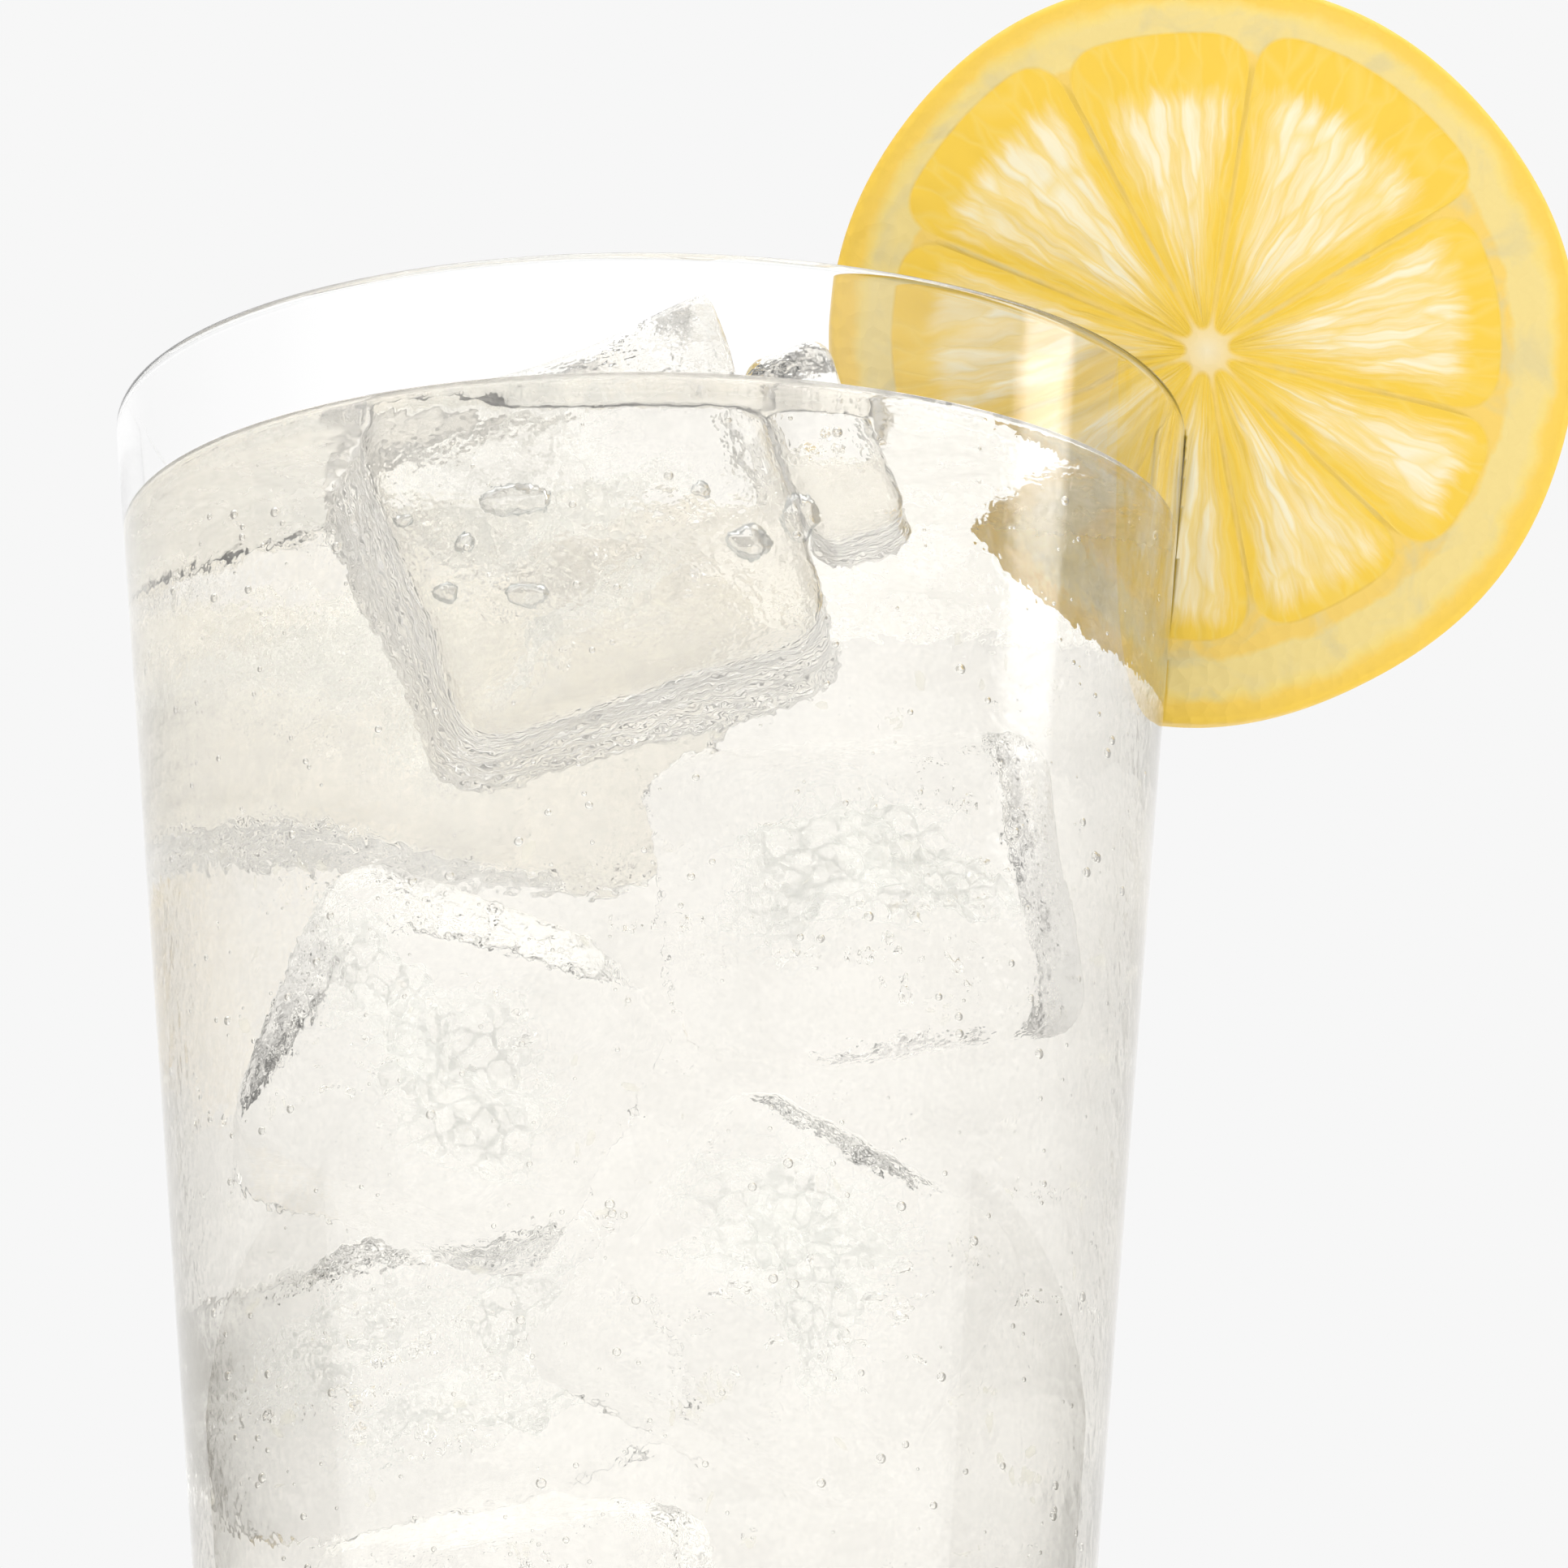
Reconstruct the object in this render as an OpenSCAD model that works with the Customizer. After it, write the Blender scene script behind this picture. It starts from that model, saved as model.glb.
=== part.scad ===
// Glass of iced lemonade with a lemon wheel on its rim.
// Millimetres, +Z up. The origin is the middle of the flat foot of the glass.
// The lemon wheel hangs on the rim on the +X side; the front is -Y.

/* [Glass] */
// Outside diameter at the rim
rim_d = 84; // [70:0.5:100]
// Outside diameter the straight side would have at the table
base_d = 56; // [48:0.5:70]
// Height of the glass
glass_h = 150; // [120:1:180]
// Thickness of the wall, square to it
wall_t = 1.8; // [1.4:0.1:3]
// Thickness of the solid foot
foot_t = 9; // [5:0.5:16]
// Radius of the edge between the foot and the side
foot_r = 3; // [1:0.5:6]
// Radius of the rounded corner inside the glass
cavity_r = 8; // [3:0.5:14]

/* [Lemonade] */
// Free height between the drink and the rim
drink_below_rim = 9.3; // [7.5:0.1:30]
// Gap between the drink and everything it touches
drink_gap = 0.05; // [0.02:0.01:0.2]

/* [Lemon wheel] */
// Diameter of the wheel over the rind
wheel_d = 59; // [48:0.5:70]
// Thickness of the slice
wheel_t = 5.5; // [3:0.25:9]
// Rounding of the cut edge of the rind
wheel_edge_r = 0.6; // [0.2:0.1:1.2]
// Distance from the end of the slit to the middle of the wheel
wheel_seat = 6.6; // [3:0.1:12]
// How far the middle of the wheel stands outside the middle of the wall
wheel_out = 2.6; // [-4:0.1:6]
// Lean of the wheel about the spoke it sits on, top towards the front
wheel_lean = 12; // [0:1:20]
// Room left on each side of the wall in the slit
slit_gap = 0.12; // [0.05:0.01:0.4]
// Number of segments in the flesh
segment_count = 9; // [8:1:12]
// Radius of the flesh, inside the pith
flesh_r = 24.8; // [18:0.1:30]
// Thickness of the membrane between two segments
membrane_t = 0.9; // [0.5:0.1:2]
// Radius of the white core
core_r = 1.6; // [0.8:0.1:4]
// Depth the flesh lies under the pith on each face
flesh_depth = 0.25; // [0.1:0.05:0.6]
// Turn of the first membrane about the axis of the wheel
segment_turn = 21; // [0:1:40]

/* [Ice] */
// Edge length of a whole ice cube
ice_s = 27; // [20:0.5:29]
// Diameter of the ball that rounds a piece's corners, as a share of its diagonal
ice_ball = 0.87; // [0.83:0.01:0.97]
// Sideways place of the front cube
ice_1_x = -4.2; // [-6:0.1:-2]
// Height of the middle of the front cube above the drink's surface
ice_1_up = -8.3; // [-12:0.1:-6]
// Thickness of the chip of ice that lies along the right side of the front cube
chip_t = 7; // [4:0.5:8]
// Depth of the chip from front to back
chip_d = 13; // [8:0.5:15]
// Height of the chip
chip_h = 15; // [8:0.5:20]
// Room between the chip and the cube it lies along
chip_gap = 0.5; // [0.2:0.05:0.9]
// How far the top of the chip stays below the top of the cube
chip_down = 4.6; // [1:0.1:8]
// Height of the middle of the rear cube above the drink's surface
ice_3_up = -10.2; // [-13:0.1:-6]
// Direction in which the rear cube lies from the middle of the glass
ice_3_angle = 132; // [105:1:165]
// Least room between a cube's sharp corners and the wall
ice_wall_gap = 0.1; // [0.05:0.05:3]

/* [Hidden] */
$fn = 96;
eps = 0.01;
rim_r = rim_d / 2;
base_r = base_d / 2;
taper = (rim_r - base_r) / glass_h;
taper_a = atan(taper);
taper_k = sqrt(1 + taper * taper);
drink_z = glass_h - drink_below_rim;
lip_r = wall_t / 2;
lip_z = glass_h - lip_r;
lip_x = outer_x(lip_z) - lip_r * taper_k;
wheel_r = wheel_d / 2;
// Cone bands that make up the rounded bottom corner of the drink
corner_steps = 12;
// The slit ends a gap above the lip, and the wheel turns about that point.
seat_z = glass_h + slit_gap;
wheel_x = lip_x + wheel_out;
cube_size = [ice_s, ice_s, ice_s];
chip_size = [chip_t, chip_d, chip_h];
// The front cube is rolled by this much, and its upper left corner meets the wall.
ice_1_roll = 20;
ice_1_corner = ice_s / 2 * [-cos(ice_1_roll) - sin(ice_1_roll), cos(ice_1_roll) - sin(ice_1_roll)];
ice_1_wall = inner_x(drink_z + ice_1_up + ice_1_corner[1]) - ice_wall_gap;
ice_1_y = ice_s / 2 - sqrt(pow(ice_1_wall, 2) - pow(ice_1_x + ice_1_corner[0], 2));
// The rear cube, turned three ways, reaches this far towards the wall.
ice_3_reach = 0.68 * ice_s;
ice_3_r = inner_x(drink_z + ice_3_up - ice_s / 2) - ice_wall_gap - ice_3_reach;
// Where each whole cube floats: [x, y, height above the drink], [turn about x, y, z]
front_cube = [[ice_1_x, ice_1_y, ice_1_up], [2, -ice_1_roll, 0]];
rear_cube = [[ice_3_r * cos(ice_3_angle), ice_3_r * sin(ice_3_angle), ice_3_up], [14, 10, 32]];
// The chip in the front cube's own directions
chip_place = [
    ice_s / 2 + chip_gap + chip_t / 2,
    -ice_s / 2 + chip_d / 2 + 1,
    ice_s / 2 - chip_down - chip_h / 2
];

function outer_x(z) = base_r + taper * z;
function inner_x(z) = outer_x(z) - wall_t * taper_k;

// Half section of the whole glass before it is hollowed, up to the lip
module outer_half() {
    cz = foot_r;
    cx = outer_x(cz) - foot_r * taper_k;
    union() {
        polygon([
            [0, 0], [cx, 0], [cx, cz],
            [cx + foot_r * cos(taper_a), cz - foot_r * sin(taper_a)],
            [lip_x + lip_r * cos(taper_a), lip_z - lip_r * sin(taper_a)],
            [lip_x - lip_r * cos(taper_a), lip_z + lip_r * sin(taper_a)],
            [0, lip_z + lip_r * sin(taper_a)]
        ]);
        translate([cx, cz]) circle(r = foot_r);
        translate([lip_x, lip_z]) circle(r = lip_r);
    }
}

// Half section of the hollow, up past the rim
module hollow_half() {
    cz = foot_t + cavity_r;
    cx = inner_x(cz) - cavity_r * taper_k;
    union() {
        polygon([
            [0, foot_t], [cx, foot_t], [cx, cz],
            [cx + cavity_r * cos(taper_a), cz - cavity_r * sin(taper_a)],
            [inner_x(glass_h + 5), glass_h + 5],
            [0, glass_h + 5]
        ]);
        translate([cx, cz]) circle(r = cavity_r);
    }
}

// Half section of the drink, which stays a gap inside the hollow
module drink_half() {
    cz = foot_t + cavity_r;
    cx = inner_x(cz) - cavity_r * taper_k;
    r = cavity_r - drink_gap;
    turn = 90 - taper_a;
    polygon(concat(
        [[0, foot_t + drink_gap]],
        [for (i = [0 : corner_steps])
            [cx + r * sin(turn * i / corner_steps), cz - r * cos(turn * i / corner_steps)]],
        [[inner_x(drink_z) - drink_gap * taper_k, drink_z], [0, drink_z]]
    ));
}

// The wall as a ring with some room round it, which the slit is cut from
module wall_room(gap) {
    low = glass_h - wheel_d;
    rotate_extrude() union() {
        polygon([
            [inner_x(low) - gap * taper_k, low],
            [outer_x(low) + gap * taper_k, low],
            [lip_x + (lip_r + gap) * cos(taper_a), lip_z - (lip_r + gap) * sin(taper_a)],
            [lip_x - (lip_r + gap) * cos(taper_a), lip_z + (lip_r + gap) * sin(taper_a)]
        ]);
        translate([lip_x, lip_z]) circle(r = lip_r + gap);
    }
}

// Puts a piece drawn round the wheel's axis (its face flat on XY) on the rim
module on_rim() {
    translate([wheel_x, 0, seat_z])
        rotate([wheel_lean, 0, 0])
            translate([0, 0, wheel_seat])
                rotate([90, 0, 0])
                    children();
}

// The slice without slit or flesh, grown all round by a gap
module wheel_blank(gap) {
    r = wheel_r + gap;
    h = wheel_t / 2 + gap;
    e = wheel_edge_r;
    rotate_extrude() union() {
        translate([0, -h]) square([r - e, 2 * h]);
        translate([0, -h + e]) square([r, 2 * h - 2 * e]);
        translate([r - e, h - e]) circle(r = e);
        translate([r - e, -h + e]) circle(r = e);
    }
}

// One segment of flesh as a wedge with parallel membranes beside it
module segment_2d(a) {
    half = 180 / segment_count;
    tip = max(core_r, membrane_t / 2 / sin(half));
    rotate(a) intersection() {
        circle(r = flesh_r);
        polygon([
            [tip, -(tip - membrane_t / 2 / sin(half)) * tan(half)],
            [2 * flesh_r, -(2 * flesh_r - membrane_t / 2 / sin(half)) * tan(half)],
            [2 * flesh_r, (2 * flesh_r - membrane_t / 2 / sin(half)) * tan(half)],
            [tip, (tip - membrane_t / 2 / sin(half)) * tan(half)]
        ]);
    }
}

// Moves a piece to where a cube floats
module afloat(pose) {
    translate(pose[0] + [0, 0, drink_z]) rotate(pose[1]) children();
}

// A piece of ice with ball-rounded corners, grown by a gap
module ice_piece(size, gap) {
    intersection() {
        cube(size + [2, 2, 2] * gap, center = true);
        sphere(d = norm(size) * ice_ball + 2 * gap);
    }
}

module front_ice(gap) {
    afloat(front_cube) ice_piece(cube_size, gap);
}

module chip_ice(gap) {
    afloat(front_cube) translate(chip_place) ice_piece(chip_size, gap);
}

module rear_ice(gap) {
    afloat(rear_cube) ice_piece(cube_size, gap);
}

module glass() {
    color([0.93, 0.97, 0.96, 0.35])
        rotate_extrude() difference() {
            outer_half();
            hollow_half();
        }
}

module lemonade() {
    color([0.96, 0.95, 0.86, 0.7])
        difference() {
            rotate_extrude() drink_half();
            on_rim() wheel_blank(drink_gap);
            front_ice(drink_gap);
            chip_ice(drink_gap);
            rear_ice(drink_gap);
        }
}

module lemon_wheel() {
    color([0.98, 0.82, 0.22])
        difference() {
            on_rim() difference() {
                wheel_blank(0);
                for (i = [0 : segment_count - 1]) {
                    a = segment_turn + i * 360 / segment_count;
                    translate([0, 0, wheel_t / 2 - flesh_depth])
                        linear_extrude(flesh_depth + eps) segment_2d(a);
                    translate([0, 0, -wheel_t / 2 - eps])
                        linear_extrude(flesh_depth + eps) segment_2d(a);
                }
            }
            wall_room(slit_gap);
        }
}

module ice_1() {
    color([0.9, 0.94, 0.96, 0.6]) front_ice(0);
}

module ice_2() {
    color([0.9, 0.94, 0.96, 0.6]) chip_ice(0);
}

module ice_3() {
    color([0.9, 0.94, 0.96, 0.6]) rear_ice(0);
}

glass();
lemonade();
lemon_wheel();
ice_1();
ice_2();
ice_3();
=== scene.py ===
"""Glass of iced lemonade with a lemon wheel on its rim: the looks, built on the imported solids.

Sizes in the functions are millimetres in the row's frame; place_mm turns a finished mesh to metres.
"""

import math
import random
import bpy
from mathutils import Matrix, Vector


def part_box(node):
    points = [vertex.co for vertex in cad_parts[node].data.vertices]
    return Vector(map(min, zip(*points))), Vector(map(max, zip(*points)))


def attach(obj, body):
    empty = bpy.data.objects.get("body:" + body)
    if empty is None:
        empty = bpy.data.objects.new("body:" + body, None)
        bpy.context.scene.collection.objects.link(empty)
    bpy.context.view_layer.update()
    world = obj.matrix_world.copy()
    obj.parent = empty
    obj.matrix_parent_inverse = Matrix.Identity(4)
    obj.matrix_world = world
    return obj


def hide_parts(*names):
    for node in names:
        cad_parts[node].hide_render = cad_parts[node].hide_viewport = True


bl_info = {
    "name": "Iced Lemonade Glass",
    "version": (1, 0, 0),
    "blender": (4, 5, 0),
    "location": "3D View > Sidebar > Lemonade",
    "description": "Builds a tumbler of cloudy lemonade with ice and a lemon wheel",
    "category": "Add Mesh",
}

import bmesh
import bpy
from bpy.props import FloatProperty, FloatVectorProperty, IntProperty, PointerProperty
from mathutils import Euler, Matrix, Vector, noise

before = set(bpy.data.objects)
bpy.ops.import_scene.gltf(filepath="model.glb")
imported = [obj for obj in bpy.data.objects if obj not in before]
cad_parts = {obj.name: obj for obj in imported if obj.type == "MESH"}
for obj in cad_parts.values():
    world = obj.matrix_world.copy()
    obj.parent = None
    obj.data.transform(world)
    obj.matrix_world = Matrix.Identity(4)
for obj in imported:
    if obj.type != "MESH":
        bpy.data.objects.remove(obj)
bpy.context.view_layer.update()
GLASS_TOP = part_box("glass")[1]

MM = 0.001
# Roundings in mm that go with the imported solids: the outer edge of the foot and the corner inside.
FOOT_R = 3.0
CORNER_R = 8.0
# Height in mm over which the inside of the glass is straight.
STRAIGHT_FROM = 18.0
# Room in mm between the wall and the slit of the wheel.
SLIT_GAP = 0.12
# Vertices nearer than this, in mm, become one after a spin.
MERGE = 1e-4
# Balls made in one bmesh at a time.
HANDFUL = 40


# ---------------------------------------------------------------- sizes and colours


def linear(code):
    """The linear colour of an sRGB hex value such as 'F7F7F7'."""
    parts = [int(code[i : i + 2], 16) / 255 for i in (0, 2, 4)]
    return tuple(p / 12.92 if p <= 0.04045 else ((p + 0.055) / 1.055) ** 2.4 for p in parts)


def colour_prop(name, description, code):
    return FloatVectorProperty(
        name=name, description=description, default=linear(code), size=3, min=0, max=1, subtype="COLOR"
    )


def length_prop(name, description, metres):
    return FloatProperty(
        name=name, description=description, default=metres, min=0, unit="LENGTH", subtype="DISTANCE"
    )


class TumblerSizes(bpy.types.PropertyGroup):
    height: length_prop("Height", "Height of the glass over its lip", GLASS_TOP.z)
    rim: length_prop("Rim", "Outside diameter at the rim", 0.084)
    base: length_prop("Base", "Outside diameter the straight side would have at the table", 0.056)
    wall: length_prop("Wall", "Thickness of the wall, square to it", 0.0018)
    foot: length_prop("Foot", "Thickness of the solid foot", 0.009)


class DrinkSizes(bpy.types.PropertyGroup):
    level: length_prop("Level", "Height of the drink's still surface over the table", 0.1407)
    creep: length_prop("Creep", "How far the drink climbs the wall where it wets it", 0.0007)
    bite: length_prop("Bite", "How far the drink reaches into the wall, so that no air shows", 0.00025)
    bubbles: IntProperty(name="Bubbles", description="Fine bubbles clinging to the wall", default=1400, min=0)
    scraps: IntProperty(name="Scraps", description="Scraps of pulp in the drink", default=260, min=0)
    body: colour_prop("Body", "Colour of the drink with its cloud of pulp", "FDFAF3")


class WheelSizes(bpy.types.PropertyGroup):
    radius: length_prop("Radius", "Radius of the wheel over the rind", 0.0295)
    thick: length_prop("Thickness", "Thickness of the slice", 0.0055)
    seat: length_prop("Seat", "From the end of the slit to the middle of the wheel", 0.0066)
    out: length_prop("Out", "How far the wheel's middle is outside the middle of the wall", 0.0026)
    lean: FloatProperty(
        name="Lean", description="Lean of the wheel, top towards the front", default=math.radians(12), subtype="ANGLE"
    )
    rind: colour_prop("Rind", "Colour of the peel", "F3CB4E")
    pith: colour_prop("Pith", "Colour of the pith", "EBD48A")
    juice: colour_prop("Juice", "Deep colour of the flesh at its edges", "F0C846")
    pulp: colour_prop("Pulp", "Pale colour of the juice sacs", "F5EAC8")


class IceSizes(bpy.types.PropertyGroup):
    round: length_prop("Rounding", "Radius of a cube's melted edges", 0.0038)
    bubbles: IntProperty(name="Bubbles", description="Air bubbles in the heart of each cube", default=70, min=0)


def sizes(context, group):
    return getattr(context.scene, "lemonade_" + group)


# ---------------------------------------------------------------- making meshes


def smooth_all(mesh):
    for poly in mesh.polygons:
        poly.use_smooth = True


def place_mm(bm, name, finish, replaces=(), shadow=False):
    """Makes the finished object from a bmesh in millimetres, on the root body."""
    bmesh.ops.scale(bm, vec=(MM, MM, MM), verts=bm.verts)
    mesh = bpy.data.meshes.new(name)
    bm.to_mesh(mesh)
    bm.free()
    smooth_all(mesh)
    mesh.materials.append(finish)
    piece = bpy.data.objects.new(name, mesh)
    bpy.context.scene.collection.objects.link(piece)
    piece.visible_shadow = shadow
    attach(piece, "root")
    if replaces:
        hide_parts(*replaces)
    return piece


def arc(cx, cz, r, start, end, steps):
    """Points on an arc in the half section, from one angle to another in degrees."""
    return [
        (cx + r * math.cos(math.radians(start + (end - start) * i / steps)),
         cz + r * math.sin(math.radians(start + (end - start) * i / steps)))
        for i in range(steps + 1)
    ]


def between(a, b, count):
    """Points strictly between two points of the half section."""
    return [(a[0] + (b[0] - a[0]) * i / (count + 1), a[1] + (b[1] - a[1]) * i / (count + 1))
            for i in range(1, count + 1)]


def turned(section, steps):
    """A closed skin from a half section whose ends lie on the axis."""
    bm = bmesh.new()
    verts = [bm.verts.new((x, 0, z)) for x, z in section]
    edges = [bm.edges.new(pair) for pair in zip(verts, verts[1:])]
    bmesh.ops.spin(
        bm, geom=verts + edges, cent=(0, 0, 0), axis=(0, 0, 1), angle=2 * math.pi, steps=steps, use_merge=True
    )
    bmesh.ops.remove_doubles(bm, verts=bm.verts, dist=MERGE)
    bmesh.ops.recalc_face_normals(bm, faces=bm.faces)
    return bm


def turn_of(degrees):
    """The turn about x, y and z, in that order."""
    return Euler([math.radians(a) for a in degrees], "XYZ").to_matrix()


def swarm(shapes):
    """Joins many small balls given as (matrix, subdivisions); made in handfuls, which keeps it quick."""
    whole = bmesh.new()
    for start in range(0, len(shapes), HANDFUL):
        part = bmesh.new()
        for matrix, steps in shapes[start : start + HANDFUL]:
            bmesh.ops.create_icosphere(part, subdivisions=steps, radius=1.0, matrix=matrix)
        mesh = bpy.data.meshes.new("handful")
        part.to_mesh(mesh)
        part.free()
        whole.from_mesh(mesh)
        bpy.data.meshes.remove(mesh)
    return whole


def cut_away(piece, bm_cutter):
    """Cuts a closed shape in millimetres out of a finished piece."""
    bmesh.ops.scale(bm_cutter, vec=(MM, MM, MM), verts=bm_cutter.verts)
    mesh = bpy.data.meshes.new("cutter")
    bm_cutter.to_mesh(mesh)
    bm_cutter.free()
    cutter = bpy.data.objects.new("cutter", mesh)
    bpy.context.scene.collection.objects.link(cutter)
    mod = piece.modifiers.new("cut", "BOOLEAN")
    mod.operation, mod.solver, mod.object = "DIFFERENCE", "EXACT", cutter
    graph = bpy.context.evaluated_depsgraph_get()
    done = bpy.data.meshes.new_from_object(piece.evaluated_get(graph), depsgraph=graph)
    piece.modifiers.remove(mod)
    old, piece.data = piece.data, done
    bpy.data.meshes.remove(old)
    bpy.data.objects.remove(cutter)
    if len(done.polygons) < 100:
        raise RuntimeError(f"cutting {piece.name} left nothing")
    smooth_all(done)


class Tumbler:
    """The straight tapered wall of the glass, in millimetres."""

    def __init__(self, s):
        self.h, self.rim, self.base = s.height / MM, s.rim / MM / 2, s.base / MM / 2
        self.t, self.foot = s.wall / MM, s.foot / MM
        self.taper = (self.rim - self.base) / self.h
        self.k = math.hypot(1, self.taper)
        self.a = math.degrees(math.atan(self.taper))
        self.lip = self.t / 2
        self.lip_z = self.h - self.lip
        self.lip_x = self.outer(self.lip_z) - self.lip * self.k

    def outer(self, z):
        return self.base + self.taper * z

    def inner(self, z):
        return self.outer(z) - self.t * self.k


# ---------------------------------------------------------------- materials


def add(tree, kind, links=None, **settings):
    """Adds a node with its settings; each link is a value or the socket that feeds the input."""
    n = tree.nodes.new(kind)
    for key, value in settings.items():
        setattr(n, key, value)
    for key, value in (links or {}).items():
        if isinstance(value, bpy.types.NodeSocket):
            tree.links.new(value, n.inputs[key])
        else:
            n.inputs[key].default_value = value
    return n


def material(name):
    mat = bpy.data.materials.new(name)
    mat.use_nodes = True
    mat.node_tree.nodes.clear()
    return mat, mat.node_tree


def rgba(c, a=1.0):
    return (c[0], c[1], c[2], a)


def soda_lime_glass():
    # Pressed and fire-polished soda-lime glass: colourless, with a hard and even gloss.
    mat, t = material("soda-lime glass, fire-polished")
    shader = add(t, "ShaderNodeBsdfGlass", {"Color": (1, 1, 1, 1), "Roughness": 0.0, "IOR": 1.5})
    add(t, "ShaderNodeOutputMaterial", {"Surface": shader.outputs[0]})
    return mat


def cloudy_lemonade(s):
    # Fresh lemonade: water, sugar and lemon cloud. The cloud gives a cream veil over what is behind it.
    mat, t = material("lemonade, fresh and cloudy")
    where = add(t, "ShaderNodeTexCoord")
    # Clouds of pulp about 6 mm across drift along the wall, and a fine grain of about 1.5 mm wobbles what
    # is behind.
    drift = add(t, "ShaderNodeTexNoise", {
        "Vector": where.outputs["Object"], "Scale": 170.0, "Detail": 4.0, "Roughness": 0.75})
    clear = add(t, "ShaderNodeMapRange", {
        "Value": drift.outputs["Fac"], "From Min": 0.38, "From Max": 0.62, "To Min": 0.94, "To Max": 0.78})
    grain = add(t, "ShaderNodeTexNoise", {
        "Vector": where.outputs["Object"], "Scale": 620.0, "Detail": 1.5, "Roughness": 0.6})
    wobble = add(t, "ShaderNodeBump", {"Height": grain.outputs["Fac"], "Strength": 0.25, "Distance": 0.0003})
    shader = add(t, "ShaderNodeBsdfPrincipled", {
        "Base Color": rgba(s.body), "Roughness": 0.0, "IOR": 1.34, "Transmission Weight": clear.outputs[0],
        "Normal": wobble.outputs["Normal"]})
    add(t, "ShaderNodeOutputMaterial", {"Surface": shader.outputs[0]})
    return mat


def tray_ice(name, ior):
    # Water ice from a tray, wet: smooth melted skin with shallow ripples that bend what is behind. In the
    # drink the true change of index is too small to see, so it is drawn a little stronger.
    mat, t = material(name)
    where = add(t, "ShaderNodeTexCoord")
    ripple = add(t, "ShaderNodeTexNoise", {
        "Vector": where.outputs["Object"], "Scale": 420.0, "Detail": 3.0, "Roughness": 0.68})
    bump = add(t, "ShaderNodeBump", {"Height": ripple.outputs["Fac"], "Strength": 0.6, "Distance": 0.0006})
    shader = add(t, "ShaderNodeBsdfGlass", {
        "Color": (1, 1, 1, 1), "Roughness": 0.0, "IOR": ior, "Normal": bump.outputs["Normal"]})
    add(t, "ShaderNodeOutputMaterial", {"Surface": shader.outputs[0]})
    return mat


def trapped_air():
    # Air frozen into ice or risen in the drink: a void, so its edge turns light back and looks dark.
    mat, t = material("air bubble")
    shader = add(t, "ShaderNodeBsdfGlass", {"Color": (1, 1, 1, 1), "Roughness": 0.0, "IOR": 0.763})
    add(t, "ShaderNodeOutputMaterial", {"Surface": shader.outputs[0]})
    return mat


def void_with_painted_dark_rim():
    # A cavity frozen under the skin of the ice: clear in the middle, with painted shade along its rim, a cold dark
    # grey tint where its skin is seen edge-on.
    mat, t = material("cavity in ice, painted dark rim")
    facing = add(t, "ShaderNodeLayerWeight", {"Blend": 0.35})
    # Painted shade: the glass is tinted dark grey where the cavity's skin is seen edge-on, standing in for the light
    # a void turns away.
    rim = add(t, "ShaderNodeMapRange", {"Value": facing.outputs["Facing"], "From Min": 0.15, "From Max": 0.75})
    tint = add(t, "ShaderNodeMix", {
        "Factor": rim.outputs[0], "A": (1, 1, 1, 1), "B": rgba(linear("7C8A90"))}, data_type="RGBA")
    shader = add(t, "ShaderNodeBsdfGlass", {"Color": tint.outputs["Result"], "Roughness": 0.0, "IOR": 0.763})
    add(t, "ShaderNodeOutputMaterial", {"Surface": shader.outputs[0]})
    return mat


def ice_frost():
    # Clouded ice: fine bubbles and hair cracks that scatter light, thick in the heart and fading outwards.
    mat, t = material("clouded ice, fine bubbles")
    where = add(t, "ShaderNodeTexCoord")
    cloud = add(t, "ShaderNodeTexNoise", {
        "Vector": where.outputs["Object"], "Scale": 560.0, "Detail": 4.0, "Roughness": 0.7, "Distortion": 1.4})
    cracks = add(t, "ShaderNodeTexVoronoi", {
        "Vector": where.outputs["Object"], "Scale": 520.0}, feature="DISTANCE_TO_EDGE")
    body = add(t, "ShaderNodeAttribute", attribute_name="frost")
    raw = add(t, "ShaderNodeMath", {0: cloud.outputs["Fac"], 1: body.outputs["Fac"]}, operation="MULTIPLY")
    thick = add(t, "ShaderNodeMapRange", {
        "Value": raw.outputs[0], "From Min": 0.25, "From Max": 0.6, "To Min": 0.0, "To Max": 0.6})
    hair = add(t, "ShaderNodeMapRange", {
        "Value": cracks.outputs["Distance"], "From Min": 0.02, "From Max": 0.12, "To Min": 0.5, "To Max": 0.0})
    veil = add(t, "ShaderNodeMath", {0: hair.outputs[0], 1: body.outputs["Fac"], 2: thick.outputs[0]},
               operation="MULTIPLY_ADD", use_clamp=True)
    tint = add(t, "ShaderNodeMix", {
        "Factor": hair.outputs[0], "A": rgba(linear("F4F4F1")), "B": rgba(linear("D3D7D5"))}, data_type="RGBA")
    clear = add(t, "ShaderNodeBsdfTransparent", {"Color": (1, 1, 1, 1)})
    white = add(t, "ShaderNodeBsdfPrincipled", {
        "Base Color": tint.outputs["Result"], "Roughness": 0.6, "Specular IOR Level": 0.2})
    back = add(t, "ShaderNodeBsdfTranslucent", {"Color": tint.outputs["Result"]})
    both = add(t, "ShaderNodeMixShader", {0: 0.5, 1: white.outputs[0], 2: back.outputs[0]})
    shader = add(t, "ShaderNodeMixShader", {0: veil.outputs[0], 1: clear.outputs[0], 2: both.outputs[0]})
    add(t, "ShaderNodeOutputMaterial", {"Surface": shader.outputs[0]})
    return mat


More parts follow.
